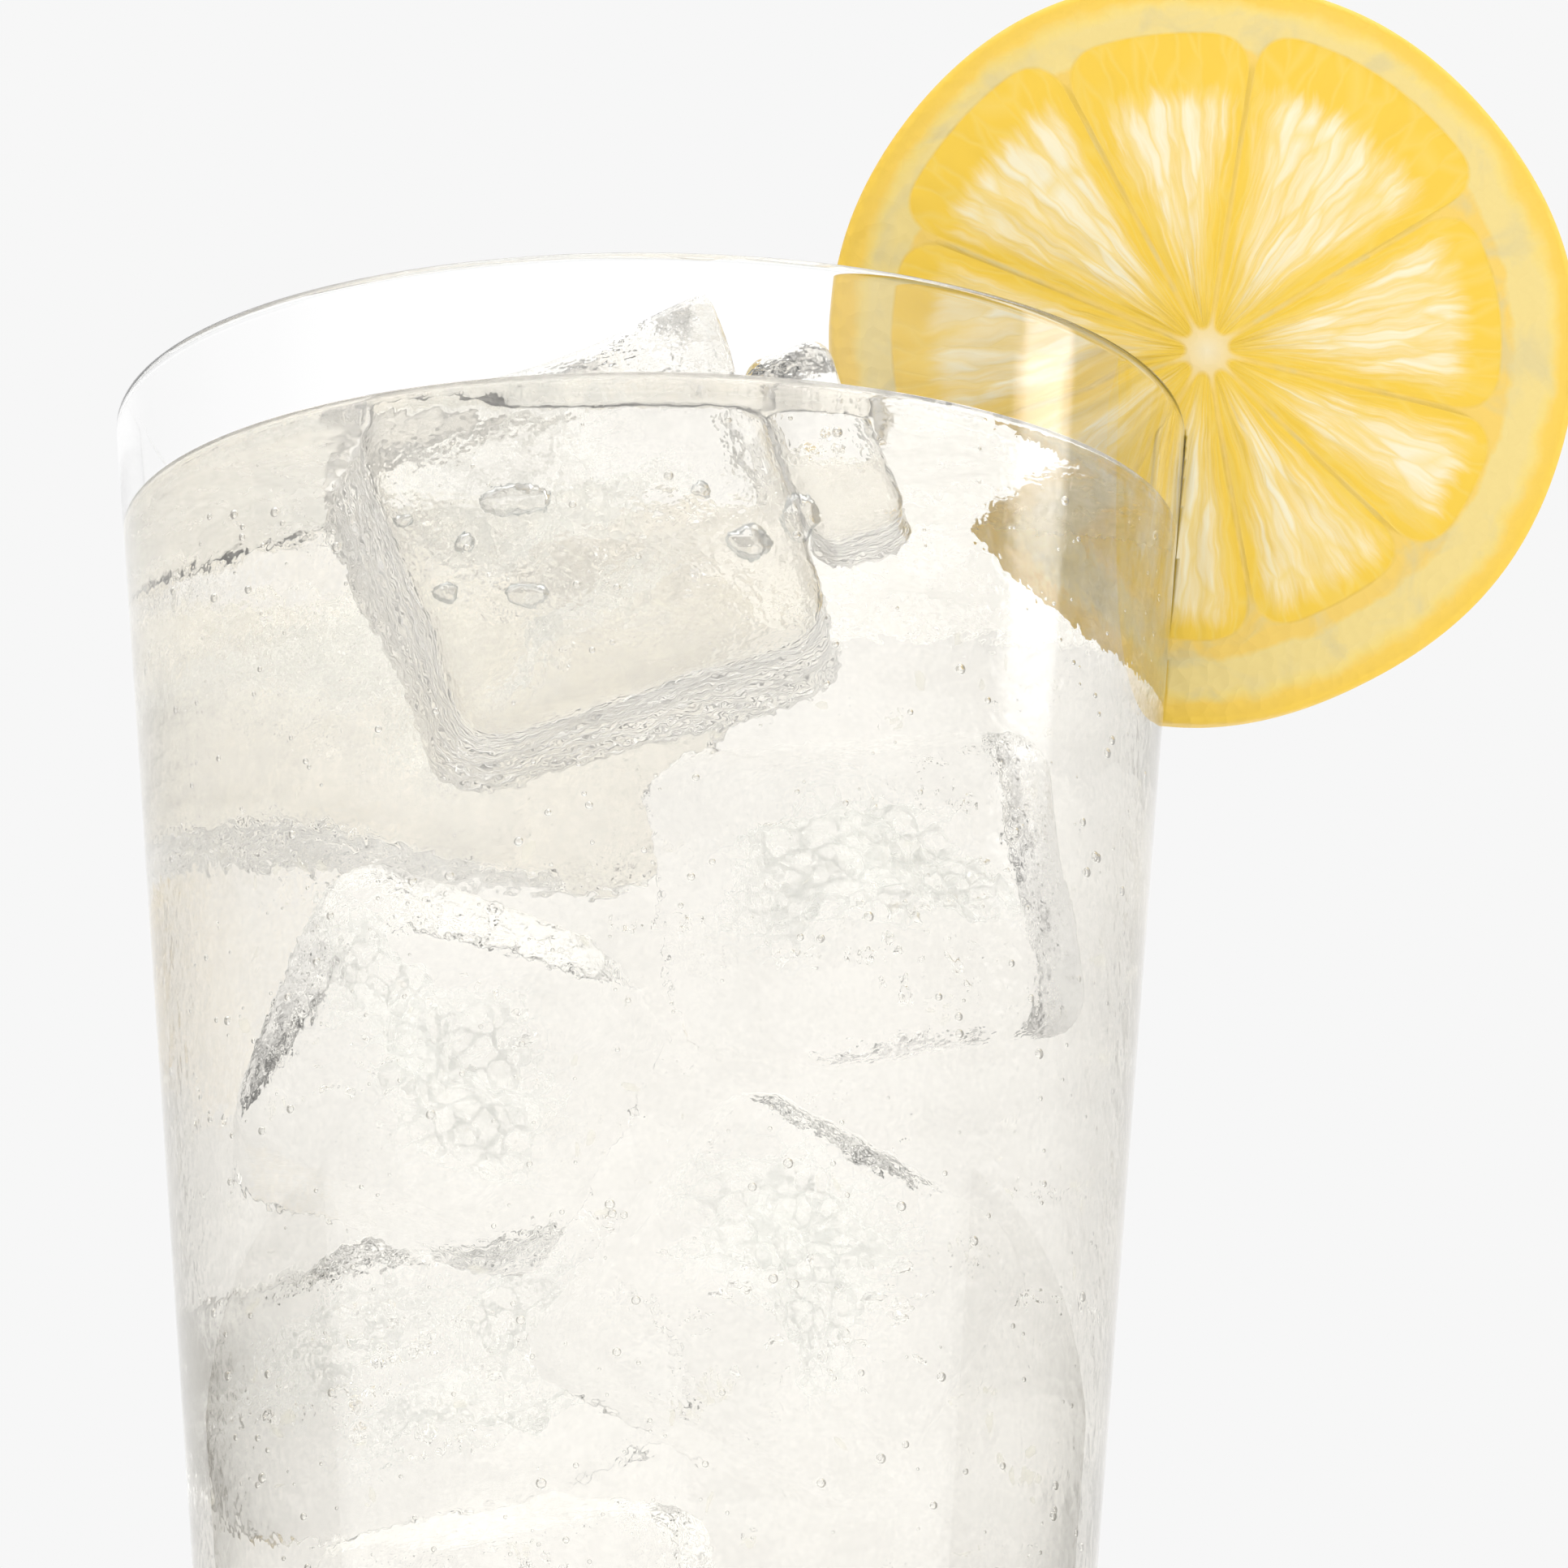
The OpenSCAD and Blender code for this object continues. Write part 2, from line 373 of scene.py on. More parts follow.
def lemon_cut(s):
    # Cut lemon: waxy peel, matt spongy pith and juice sacs with a wet gloss.
    mat, t = material("lemon, cut across and wet")
    polar = add(t, "ShaderNodeAttribute", attribute_name="polar")
    lobe = add(t, "ShaderNodeAttribute", attribute_name="lobe")
    edge = add(t, "ShaderNodeAttribute", attribute_name="inset")
    core = add(t, "ShaderNodeAttribute", attribute_name="core")
    heart = add(t, "ShaderNodeAttribute", attribute_name="heart")
    where = add(t, "ShaderNodeTexCoord")
    # Juice sacs are about 1.3 mm wide and 7 mm long, run from the core to the rind and wander a little.
    sway = add(t, "ShaderNodeTexNoise", {"Vector": polar.outputs["Vector"], "Scale": 0.3, "Detail": 1.5})
    bent = add(t, "ShaderNodeVectorMath", {0: sway.outputs["Color"], 1: (1.3, 1.3, 0.0), 2: polar.outputs["Vector"]},
               operation="MULTIPLY_ADD")
    stretch = add(t, "ShaderNodeMapping", {"Vector": bent.outputs[0], "Scale": (0.78, 0.15, 1.0)})
    sacs = add(t, "ShaderNodeTexVoronoi", {
        "Vector": stretch.outputs[0], "Scale": 1.0, "Randomness": 0.85, "Smoothness": 0.4}, feature="SMOOTH_F1")
    seams = add(t, "ShaderNodeTexVoronoi", {
        "Vector": stretch.outputs[0], "Scale": 1.0, "Randomness": 0.85}, feature="DISTANCE_TO_EDGE")
    thread = add(t, "ShaderNodeMapping", {"Vector": bent.outputs[0], "Scale": (1.25, 0.13, 1.0)})
    streak = add(t, "ShaderNodeTexNoise", {
        "Vector": thread.outputs[0], "Scale": 1.0, "Detail": 4.0, "Roughness": 0.6, "Distortion": 0.25})
    tone = add(t, "ShaderNodeSeparateColor", {"Color": sacs.outputs["Color"]})
    # The sacs are palest along the middle of a segment and deepest under its cap and skins.
    ragged = add(t, "ShaderNodeMath", {0: streak.outputs["Fac"], 1: 3.2, 2: heart.outputs["Fac"]},
                 operation="MULTIPLY_ADD")
    mid = add(t, "ShaderNodeMapRange", {
        "Value": ragged.outputs[0], "From Min": 1.9, "From Max": 4.4, "To Min": 0.0, "To Max": 1.0},
        interpolation_type="SMOOTHSTEP")
    mottled = add(t, "ShaderNodeMath", {0: tone.outputs[0], 1: 0.45, 2: streak.outputs["Fac"]},
                  operation="MULTIPLY_ADD")
    lit = add(t, "ShaderNodeMapRange", {
        "Value": mottled.outputs[0], "From Min": 0.45, "From Max": 0.95, "To Min": 0.3, "To Max": 1.0})
    pale = add(t, "ShaderNodeMath", {0: lit.outputs[0], 1: mid.outputs[0]}, operation="MULTIPLY")
    pulp = add(t, "ShaderNodeMix", {
        "Factor": pale.outputs[0], "A": rgba(s.juice), "B": rgba(s.pulp)}, data_type="RGBA")
    seam = add(t, "ShaderNodeMapRange", {
        "Value": seams.outputs["Distance"], "From Min": 0.0, "From Max": 0.12, "To Min": 0.5, "To Max": 0.0})
    sacked = add(t, "ShaderNodeMix", {
        "Factor": seam.outputs[0], "A": pulp.outputs["Result"], "B": rgba(linear("F0D068"))}, data_type="RGBA")
    # The rind is deepest at its skin and turns to pith about 2 mm in; the pith has dull, bruised patches.
    sponge = add(t, "ShaderNodeTexNoise", {"Vector": where.outputs["Object"], "Scale": 330.0, "Detail": 4.0})
    wander = add(t, "ShaderNodeMath", {0: sponge.outputs["Fac"], 1: 2.0, 2: edge.outputs["Fac"]},
                 operation="MULTIPLY_ADD")
    depth = add(t, "ShaderNodeMapRange", {"Value": wander.outputs[0], "From Min": 1.0, "From Max": 6.5})
    skin = add(t, "ShaderNodeValToRGB", {"Fac": depth.outputs[0]})
    ramp = skin.color_ramp
    rind_stops = (
        (0.0, s.rind), (0.25, linear("F2CB5A")), (0.4, linear("EFD57E")),
        (0.52, s.pith), (0.92, s.pith), (1.0, linear("EFCB68")),
    )
    for i, (pos, c) in enumerate(rind_stops):
        e = ramp.elements[i] if i < 2 else ramp.elements.new(pos)
        e.position, e.color = pos, rgba(c)
    bruise = add(t, "ShaderNodeTexNoise", {
        "Vector": where.outputs["Object"], "Scale": 190.0, "Detail": 3.0, "Distortion": 0.8})
    dull = add(t, "ShaderNodeMapRange", {
        "Value": bruise.outputs["Fac"], "From Min": 0.5, "From Max": 0.66, "To Min": 0.0, "To Max": 0.6})
    below = add(t, "ShaderNodeMapRange", {"Value": wander.outputs[0], "From Min": 2.6, "From Max": 3.6})
    dulled = add(t, "ShaderNodeMath", {0: dull.outputs[0], 1: below.outputs[0]}, operation="MULTIPLY")
    rind = add(t, "ShaderNodeMix", {
        "Factor": dulled.outputs[0], "A": skin.outputs["Color"], "B": rgba(linear("D6C795"))}, data_type="RGBA")
    inside = add(t, "ShaderNodeMapRange", {
        "Value": lobe.outputs["Fac"], "From Min": -0.15, "From Max": 0.15, "To Min": 0.0, "To Max": 1.0},
        interpolation_type="SMOOTHSTEP")
    skins = add(t, "ShaderNodeMix", {
        "Factor": core.outputs["Fac"], "A": rind.outputs["Result"], "B": rgba(linear("F1E2BC"))}, data_type="RGBA")
    colour = add(t, "ShaderNodeMix", {
        "Factor": inside.outputs[0], "A": skins.outputs["Result"], "B": sacked.outputs["Result"]}, data_type="RGBA")
    pores = add(t, "ShaderNodeTexVoronoi", {"Vector": where.outputs["Object"], "Scale": 900.0})
    dimple = add(t, "ShaderNodeMix", {
        "Factor": inside.outputs[0], "A": pores.outputs["Distance"], "B": seams.outputs["Distance"]})
    bump = add(t, "ShaderNodeBump", {
        "Height": dimple.outputs["Result"], "Strength": 0.5, "Distance": 0.0003})
    gloss = add(t, "ShaderNodeMapRange", {
        "Value": inside.outputs[0], "To Min": 0.5, "To Max": 0.26})
    shader = add(t, "ShaderNodeBsdfPrincipled", {
        "Base Color": colour.outputs["Result"], "Roughness": gloss.outputs[0], "IOR": 1.36,
        "Normal": bump.outputs["Normal"]})
    add(t, "ShaderNodeOutputMaterial", {"Surface": shader.outputs[0]})
    return mat


def lemon_pulp():
    # Torn lemon pulp afloat: soft, half clear scraps that grey what is behind them a little.
    mat, t = material("lemon pulp, torn")
    clear = add(t, "ShaderNodeBsdfTransparent", {"Color": (1, 1, 1, 1)})
    flesh = add(t, "ShaderNodeBsdfPrincipled", {
        "Base Color": rgba(linear("EDEADB")), "Roughness": 0.5, "Specular IOR Level": 0.1})
    glow = add(t, "ShaderNodeBsdfTranslucent", {"Color": rgba(linear("EDEADB"))})
    both = add(t, "ShaderNodeMixShader", {0: 0.5, 1: flesh.outputs[0], 2: glow.outputs[0]})
    shader = add(t, "ShaderNodeMixShader", {0: 0.24, 1: clear.outputs[0], 2: both.outputs[0]})
    add(t, "ShaderNodeOutputMaterial", {"Surface": shader.outputs[0]})
    return mat


# ---------------------------------------------------------------- glass and drink


class LEMONADE_OT_tumbler(bpy.types.Operator):
    """Turns the tapered glass with its thick foot and rounded lip"""

    bl_idname = "lemonade.tumbler"
    bl_label = "Tumbler"

    def execute(self, context):
        g = Tumbler(sizes(context, "tumbler"))
        fx = g.outer(FOOT_R) - FOOT_R * g.k
        cz = g.foot + CORNER_R
        cx = g.inner(cz) - CORNER_R * g.k
        foot = arc(fx, FOOT_R, FOOT_R, -90, -g.a, 8)
        lip = arc(g.lip_x, g.lip_z, g.lip, -g.a, 180 - g.a, 20)
        corner = arc(cx, cz, CORNER_R, -g.a, -90, 14)
        section = (
            [(0, 0)] + between((0, 0), foot[0], 4) + foot + between(foot[-1], lip[0], 40) + lip
            + between(lip[-1], corner[0], 36) + corner + between(corner[-1], (0, g.foot), 5) + [(0, g.foot)]
        )
        place_mm(turned(section, 224), "tumbler", soda_lime_glass(), replaces=("glass",))
        return {"FINISHED"}


class LEMONADE_OT_drink(bpy.types.Operator):
    """Pours the lemonade, with its surface drawn up at the wall, and cuts the floating ice out of it"""

    bl_idname = "lemonade.drink"
    bl_label = "Drink"

    def execute(self, context):
        g, s = Tumbler(sizes(context, "tumbler")), sizes(context, "drink")
        bite, level, creep = s.bite / MM, s.level / MM, s.creep / MM
        cz = g.foot + CORNER_R
        cx = g.inner(cz) - CORNER_R * g.k
        corner = arc(cx, cz, CORNER_R + bite, -90, -g.a, 14)
        top = (g.inner(level + creep) + bite, level + creep)
        # The surface climbs the wall over about 2 mm, as water does on clean glass.
        climb = [
            (g.inner(level) - d, level + creep * math.exp(-d / 0.9))
            for d in (0.02, 0.15, 0.35, 0.6, 0.9, 1.3, 1.8, 2.5, 3.5, 5.0)
        ]
        section = (
            [(0, g.foot - bite)] + between((0, g.foot - bite), corner[0], 5) + corner
            + between(corner[-1], top, 60) + [top] + climb
            + between(climb[-1], (0, level), 16) + [(0, level)]
        )
        bm = turned(section, 192)
        piece = place_mm(bm, "lemonade_body", cloudy_lemonade(s), replaces=("lemonade",))
        # The hole is a little smaller than the ice, so no air shows between them.
        for place in FLOATING:
            cut_away(piece, ice_block(sizes(context, "ice"), place, -0.08))
        return {"FINISHED"}


def in_ice(p, room):
    """Whether a point in mm lies in a cube of ice, or nearer to it than the room asked."""
    for middle, edges, turn, _ in FLOATING + SUNK:
        q = turn_of(turn).transposed() @ (Vector(p) - Vector(middle))
        if all(abs(q[i]) < edges[i] / 2 + room for i in range(3)):
            return True
    return False


class LEMONADE_OT_fizz(bpy.types.Operator):
    """Strews fine bubbles along the wall and scraps of pulp through the drink"""

    bl_idname = "lemonade.fizz"
    bl_label = "Bubbles and pulp"

    def execute(self, context):
        g, s = Tumbler(sizes(context, "tumbler")), sizes(context, "drink")
        level = s.level / MM
        rng = random.Random(5)
        balls = []
        while len(balls) < s.bubbles:
            r = 0.12 + 0.3 * rng.random() ** 3
            z = 12 + (level - 14) * rng.random() ** 0.8
            a = rng.uniform(0, 2 * math.pi)
            out = g.inner(z) - r - 0.1 if z > STRAIGHT_FROM else 0
            p = (out * math.cos(a), out * math.sin(a), z)
            if out > 0 and not in_ice(p, r + 0.2):
                balls.append((Matrix.Translation(p) @ Matrix.Scale(r, 4), 2))
        place_mm(swarm(balls), "wall_bubbles", trapped_air())
        balls = []
        while len(balls) < s.scraps:
            z = 12 + (level - 14) * rng.random()
            a, out = rng.uniform(0, 2 * math.pi), (g.inner(z) - 2.2) * math.sqrt(rng.uniform(0.35, 1.0))
            p = (out * math.cos(a), out * math.sin(a), z)
            if z < STRAIGHT_FROM or in_ice(p, 1.0):
                continue
            long = rng.uniform(0.25, 0.9)
            turn = Euler([rng.uniform(0, 6.28) for _ in range(3)], "XYZ").to_matrix().to_4x4()
            shape = Matrix.Diagonal((long, long * rng.uniform(0.25, 0.7), long * 0.18, 1))
            balls.append((Matrix.Translation(p) @ turn @ shape, 1))
        place_mm(swarm(balls), "pulp_scraps", lemon_pulp())
        return {"FINISHED"}


# ---------------------------------------------------------------- ice

# Each piece: [middle in mm], [edges in mm], [turn in degrees], seed.
FLOATING = (
    ((-4.2, -19.2, 133.2), (27, 27, 27), (2, -20, 0), 1),
    ((11.84, -25.3, 139.5), (7, 13, 15), (2, -20, 0), 2),
    ((-12.3, 13.6, 130.5), (27, 27, 27), (14, 10, 32), 3),
)
SUNK = (
    ((14.8, -13.4, 108.8), (23.5, 23.5, 23), (12, -14, 24), 4),
    ((-13.4, -11.0, 96.0), (22, 22, 23), (-8, 24, -18), 5),
    ((9.0, -13.0, 78.5), (24, 24, 24), (6, 30, 12), 7),
    ((-11.0, 12.0, 77.0), (20, 20, 20), (-14, -18, 35), 8),
    ((-7.0, -11.0, 53.0), (21, 21, 21), (10, -16, 22), 9),
    ((0.5, -3.0, 27.5), (20, 20, 20), (22, 12, 15), 11),
)
# Cuts along each edge of a cube before it is rounded, and the shortest edge of a whole cube in mm.
ICE_CUTS = 22
WHOLE_CUBE = 15


def ice_block(s, place, grow):
    """One melted cube in millimetres: rounded edges, hollow-worn faces, grown by a margin."""
    middle, edges, turn, seed = place
    bm = bmesh.new()
    bmesh.ops.create_cube(bm, size=2.0)
    bmesh.ops.subdivide_edges(bm, edges=bm.edges, cuts=ICE_CUTS, use_grid_fill=True)
    half = Vector(edges) / 2
    soft = min(s.round / MM, min(half) * 0.55)
    pose = Matrix.Translation(middle) @ turn_of(turn).to_4x4()
    crest = Vector((1, 0, 1)).normalized()
    for v in bm.verts:
        p = Vector([v.co[i] * half[i] for i in range(3)])
        # The front cube keeps one edge crisp where it stands out of the drink.
        crisp = max(0.0, min(1.0, (p.normalized().dot(crest) - 0.7) / 0.1)) if seed == 1 else 0.0
        r = soft * (1 - 0.75 * crisp)
        core = Vector([max(-half[i] + r, min(half[i] - r, p[i])) for i in range(3)])
        away = p - core
        if away.length > 1e-6:
            p = core + away.normalized() * r
        n = (p - core).normalized() if (p - core).length > 1e-6 else p.normalized()
        spot = p * 0.075 + Vector((seed * 7.3, seed * 3.1, -seed * 5.7))
        worn = noise.noise(spot) * 0.7 + noise.noise(spot * 2.6) * 0.28
        v.co = p + n * (min(worn, 0.3) - 0.25 + grow)
    bmesh.ops.transform(bm, matrix=pose, verts=bm.verts)
    bmesh.ops.recalc_face_normals(bm, faces=bm.faces)
    return bm


def scatter_bubbles(balls, place, count, rng):
    """Small voids that stream out from the heart of a cube, longer the further out they are."""
    middle, edges, turn, _ = place
    rot = turn_of(turn)
    reach = min(edges) * 0.42
    for _ in range(count):
        way = Vector([rng.gauss(0, 1) for _ in range(3)]).normalized()
        out = reach * (0.15 + 0.75 * rng.random() ** 0.8)
        size = 0.12 + 0.38 * rng.random() ** 2.5
        long = size * (1 + 3.2 * rng.random() * out / reach)
        lie = way.to_track_quat("Z", "Y").to_matrix().to_4x4()
        at = Matrix.Translation(Vector(middle) + rot @ (way * out))
        shape = Matrix.Diagonal((size, size, long, 1))
        balls.append((at @ rot.to_4x4() @ lie @ shape, 1))


def frost_heart(bm, place, rng, layer):
    """Crumpled sheets of cloud in the middle of a cube, each with its thickness in the frost layer."""
    middle, edges, turn, seed = place
    rot = turn_of(turn).to_4x4()
    reach = min(edges) * 0.46
    for k in range(3):
        lean = [rng.uniform(-0.9, 0.9), rng.uniform(-0.9, 0.9), rng.uniform(0, 6.28)]
        tilt = Euler(lean, "XYZ").to_matrix().to_4x4()
        shift = Vector([rng.uniform(-0.22, 0.22) * min(edges) for _ in range(3)])
        fresh = bmesh.ops.create_grid(bm, x_segments=20, y_segments=20, size=1.0)["verts"]
        for v in fresh:
            # The square sheet is drawn to a disc, then crumpled.
            x, y = v.co.x, v.co.y
            disc = Vector((x * math.sqrt(1 - y * y / 2), y * math.sqrt(1 - x * x / 2), 0))
            away = disc.length
            p = disc * reach * 0.95
            q = p * 0.16 + Vector((seed * 2.7, k * 9.1, 0))
            p.z = noise.noise(q) * 4.2 + noise.noise(q * 2.7) * 1.2
            v[layer] = max(0.0, 1.0 - away ** 2.2)
            v.co = p
        pose = Matrix.Translation(middle) @ rot @ Matrix.Translation(shift) @ tilt
        bmesh.ops.transform(bm, matrix=pose, verts=fresh)


# Larger voids frozen under the front face of the front cube: [middle], [half sizes], in mm.
VOIDS = (
    ((-9.2, -30.0, 134.4), (2.3, 1.0, 1.3)), ((-8.4, -30.2, 127.2), (1.5, 0.9, 0.9)),
    ((-14.0, -30.0, 127.6), (1.0, 0.8, 0.8)), ((6.6, -29.9, 131.4), (1.6, 1.0, 1.2)),
    ((10.0, -29.6, 133.4), (1.2, 0.9, 1.8)), ((-12.6, -30.2, 131.2), (0.7, 0.6, 0.7)),
    ((-17.2, -30.0, 133.0), (0.8, 0.6, 0.5)), ((3.2, -29.8, 135.2), (0.7, 0.6, 0.5)),
)


class LEMONADE_OT_ice(bpy.types.Operator):
    """Freezes the cubes: the three that float and those sunk in the drink"""

    bl_idname = "lemonade.ice"
    bl_label = "Ice"

    def execute(self, context):
        s = sizes(context, "ice")
        rng = random.Random(17)
        afloat, sunk = tray_ice("tray ice, wet", 1.31), tray_ice("tray ice, under the drink", 1.05)
        for i, place in enumerate(FLOATING):
            cube = ice_block(s, place, 0)
            place_mm(cube, f"ice_afloat_{i + 1}", afloat, replaces=(f"ice_{i + 1}",))
        for i, place in enumerate(SUNK):
            place_mm(ice_block(s, place, 0), f"ice_sunk_{i + 1}", sunk)
        balls = [(Matrix.Translation(middle) @ Matrix.Diagonal((*half, 1)), 4) for middle, half in VOIDS]
        bm = swarm(balls)
        for v in bm.verts:
            v.co += v.normal * 0.35 * noise.noise(v.co * 0.8)
        place_mm(bm, "ice_voids", void_with_painted_dark_rim())
        balls = []
        for place in FLOATING + SUNK:
            whole = min(place[1]) > WHOLE_CUBE
            scatter_bubbles(balls, place, s.bubbles if whole else 12, rng)
        place_mm(swarm(balls), "ice_bubbles", trapped_air())
        bm = bmesh.new()
        layer = bm.verts.layers.float.new("frost")
        for place in FLOATING + SUNK:
            if min(place[1]) > WHOLE_CUBE:
                frost_heart(bm, place, rng, layer)
        place_mm(bm, "ice_frost", ice_frost())
        return {"FINISHED"}


# ---------------------------------------------------------------- lemon wheel

# The segments of this fruit: where each begins, in degrees from +X, the radius of its rounded cap and the
# width of the deep yellow under the cap, in mm.
SEGMENTS = (
    (-13, 23.3, 1.6), (31, 25.8, 3.4), (81, 25.2, 3.6), (118, 26.2, 2.6), (158, 24.8, 2.0), (199, 23.6, 1.0),
    (240, 22.9, 0.3), (280, 22.8, 0.2), (316, 23.9, 0.6),
)
# The radius in mm at which the pattern of the flesh has its true width.
FLESH_R = 18


def soft_min(a, b, r):
    h = max(r - abs(a - b), 0.0) / r
    return min(a, b) - h * h * r / 4


def lobe_depth(x, z):
    """Where a point of the cut face lies.

    Its depth in mm inside the segment and inside the pale heart, its angle across, and which segment it is.
    """
    rho = math.hypot(x, z)
    turn = (math.degrees(math.atan2(z, x)) - SEGMENTS[0][0]) % 360
    steps = [(a - SEGMENTS[0][0]) % 360 for a, _, _ in SEGMENTS] + [360]
    i = max(j for j in range(len(SEGMENTS)) if steps[j] <= turn + 1e-9)
    lo, hi = steps[i], steps[i + 1]
    skin = 0.17 + 0.05 * math.sin(i * 2.4)
    d_lo = rho * math.sin(math.radians(min(turn - lo, 90))) - skin
    d_hi = rho * math.sin(math.radians(min(hi - turn, 90))) - skin
    cap = SEGMENTS[i][1] - rho
    sides = soft_min(soft_min(d_lo, d_hi, 0.9), rho - 1.3 - 0.3 * math.sin(i * 3.1), 1.2)
    return soft_min(sides, cap, 3.6), soft_min(sides, cap - SEGMENTS[i][2], 2.0), turn - (lo + hi) / 2, i


class LEMONADE_OT_wheel(bpy.types.Operator):
    """Cuts the lemon wheel and hangs it by its slit on the rim"""

    bl_idname = "lemonade.wheel"
    bl_label = "Lemon wheel"

    def execute(self, context):
        g, s = Tumbler(sizes(context, "tumbler")), sizes(context, "wheel")
        r, t = s.radius / MM, s.thick / MM
        round_r = 0.9
        # The section runs from the middle of one face over the peel to the middle of the other.
        face = [(r - round_r) * i / 62 for i in range(63)]
        flat = t / 2 - round_r
        edge = (
            arc(r - round_r, flat, round_r, 90, 0, 5)[1:] + between((r, flat), (r, -flat), 5)
            + arc(r - round_r, -flat, round_r, 0, -90, 5)
        )
        section = [(x, t / 2) for x in face] + edge + [(x, -t / 2) for x in reversed(face[:-1])]
        bm = turned(section, 340)
        lobe = bm.verts.layers.float.new("lobe")
        inset = bm.verts.layers.float.new("inset")
        polar = bm.verts.layers.float_vector.new("polar")
        core = bm.verts.layers.float.new("core")
        heart = bm.verts.layers.float.new("heart")
        for v in bm.verts:
            # In the spun shape the axis is Z; x and y are the plane of the cut.
            x, y, z = v.co
            rho = math.hypot(x, y)
            phi = math.atan2(y, x)
            depth, deep, across, i = lobe_depth(x, y)
            side = 1 if z > 0 else -1
            # The fruit isn't quite round: its outline bulges a little to the upper left.
            bulge = 1 + 0.012 * math.cos(phi - 2.3) + 0.006 * math.sin(3 * phi + 1) + 0.004 * math.sin(7 * phi)
            wave = 0.0
            if rho < r - round_r * 0.9:
                if depth > 0:
                    spot = Vector((math.radians(across) * FLESH_R * 0.75, rho * 0.16, i * 3.7))
                    wave = 0.22 * min(depth, 2.2) / 2.2 + 0.22 * noise.noise(spot) * min(depth, 1.0)
                else:
                    wave = 0.05 * min(1.0, -depth) - 0.18 * min(1.0, max(0.0, (rho - 24) / 1.5))
                wave += 0.08 * noise.noise(Vector((x * 0.5, y * 0.5, side * 3.0)))
            on_face = abs(z) > t / 2 - round_r * 0.5
            v[lobe] = depth if on_face else -3.0
            v[inset], v[heart] = r - rho, deep
            v[core] = max(0.0, 1.0 - rho / 3.2) if on_face else 0.0
            # Each segment and each face takes its own stretch of the pattern.
            v[polar] = (math.radians(across) * FLESH_R + i * 31.7 + (400 if side < 0 else 0), rho, 0)
            v.co = Vector((x * bulge, y * bulge, z + side * wave))
        pose = (
            Matrix.Translation((g.lip_x + s.out / MM, 0, g.h + SLIT_GAP))
            @ Matrix.Rotation(s.lean, 4, "X")
            @ Matrix.Translation((0, 0, s.seat / MM))
            @ Matrix.Rotation(math.radians(90), 4, "X")
        )
        bmesh.ops.transform(bm, matrix=pose, verts=bm.verts)
        piece = place_mm(bm, "lemon_wheel_cut", lemon_cut(s), replaces=("lemon_wheel",), shadow=True)
        low = g.h - 2 * r
        ring = [(g.inner(low) - SLIT_GAP * g.k, low), (g.outer(low) + SLIT_GAP * g.k, low)]
        ring += arc(g.lip_x, g.lip_z, g.lip + SLIT_GAP, -g.a, 180 - g.a, 16)
        bm = bmesh.new()
        verts = [bm.verts.new((x, 0, z)) for x, z in ring]
        edges = [bm.edges.new((a, b)) for a, b in zip(verts, verts[1:] + verts[:1])]
        bmesh.ops.spin(
            bm, geom=verts + edges, cent=(0, 0, 0), axis=(0, 0, 1), angle=2 * math.pi, steps=160, use_merge=True
        )
        bmesh.ops.remove_doubles(bm, verts=bm.verts, dist=MERGE)
        bmesh.ops.recalc_face_normals(bm, faces=bm.faces)
        cut_away(piece, bm)
        return {"FINISHED"}


# ---------------------------------------------------------------- stage


